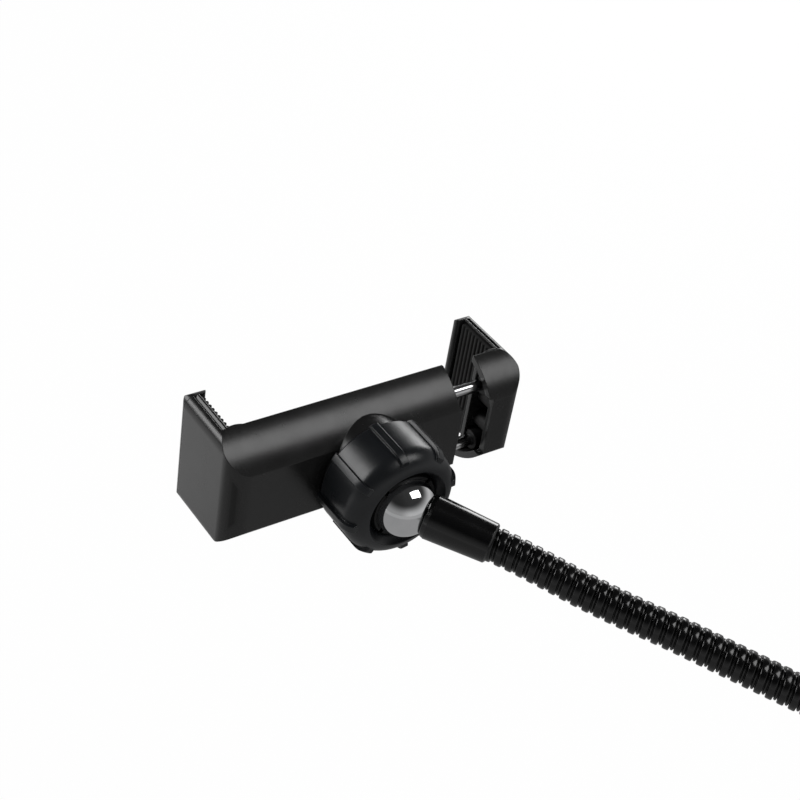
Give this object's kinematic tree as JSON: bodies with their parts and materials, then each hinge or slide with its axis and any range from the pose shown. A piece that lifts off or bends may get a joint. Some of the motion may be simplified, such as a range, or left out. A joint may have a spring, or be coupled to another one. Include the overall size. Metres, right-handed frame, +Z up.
{
  "type": "spring phone clamp on a ball joint and gooseneck arm",
  "caption": "Spring-loaded phone clamp with a sliding jaw on guide rods, carried by a lockable ball joint on a bendable gooseneck arm.",
  "frame": {"origin": "middle of the face that the phone's back rests on, halfway between the two grip pads", "axes": "+X from the fixed jaw towards the sliding jaw, +Y out of the rest face towards the phone, +Z up along the jaws; the ball joint is on the -Y side"},
  "size_m": [0.1012, 0.1279, 0.0334],
  "materials": {
    "clamp_plastic": "satin black moulded plastic",
    "knob_plastic": "satin black moulded plastic",
    "socket_plastic": "smooth black moulded plastic",
    "seat_plastic": "natural white bearing plastic",
    "pad_rubber": "matt soft rubber",
    "rod_steel": "ground and polished",
    "yoke_steel": "stamped, zinc plated",
    "spring_steel": "drawn wire",
    "screw_steel": "zinc plated",
    "ball_chrome": "polished plating",
    "sleeve_gloss": "gloss black",
    "gooseneck_gloss": "gloss black coated steel band"
  },
  "bodies": {
    "arm": {"gooseneck": "gooseneck_gloss", "arm_sleeve": "sleeve_gloss", "end_ferrule": "sleeve_gloss"},
    "ball": {"ball_stud": "ball_chrome"},
    "seat": {"ball_seat": "seat_plastic"},
    "clamp": {"rear_cover": "clamp_plastic", "front_cover": "clamp_plastic", "cover_screws": "screw_steel", "left_pad": "pad_rubber", "rest_pad": "pad_rubber", "ball_socket": "socket_plastic", "socket_screw": "screw_steel", "upper_spring": "spring_steel", "lower_spring": "spring_steel"},
    "knob": {"locking_knob": "knob_plastic"},
    "jaw": {"jaw_shell": "clamp_plastic", "jaw_cover": "clamp_plastic", "jaw_screws": "screw_steel", "right_pad": "pad_rubber", "upper_rod": "rod_steel", "lower_rod": "rod_steel", "rod_yoke": "yoke_steel", "rod_clips": "spring_steel"}
  },
  "joints": [
    {"name": "ball_swivel", "type": "hinge", "parent": "arm", "child": "ball", "pos_m": [-0.0034, -0.0226, 0], "axis": [0.5886, -0.8007, -0.1112], "continuous": true},
    {"name": "ball_tilt", "type": "hinge", "parent": "ball", "child": "seat", "pos_m": [-0.0034, -0.0226, 0], "axis": [-0.1857, 0, -0.9826], "range_deg": [-74.8, 1.2]},
    {"name": "socket_spin", "type": "hinge", "parent": "seat", "child": "clamp", "pos_m": [-0.0034, -0.0226, 0], "axis": [0, -1, 0], "continuous": true},
    {"name": "knob_turn", "type": "hinge", "parent": "clamp", "child": "knob", "pos_m": [-0.0034, -0.0226, 0], "axis": [0, -1, 0], "range_deg": [0, 180]},
    {"name": "jaw_slide", "type": "slide", "parent": "clamp", "child": "jaw", "axis": [1, 0, 0], "range_m": [-0.0082, 0.018], "stiffness_N_per_m": 250, "springref_m": -0.028, "deforming": ["upper_spring", "lower_spring"]}
  ]
}
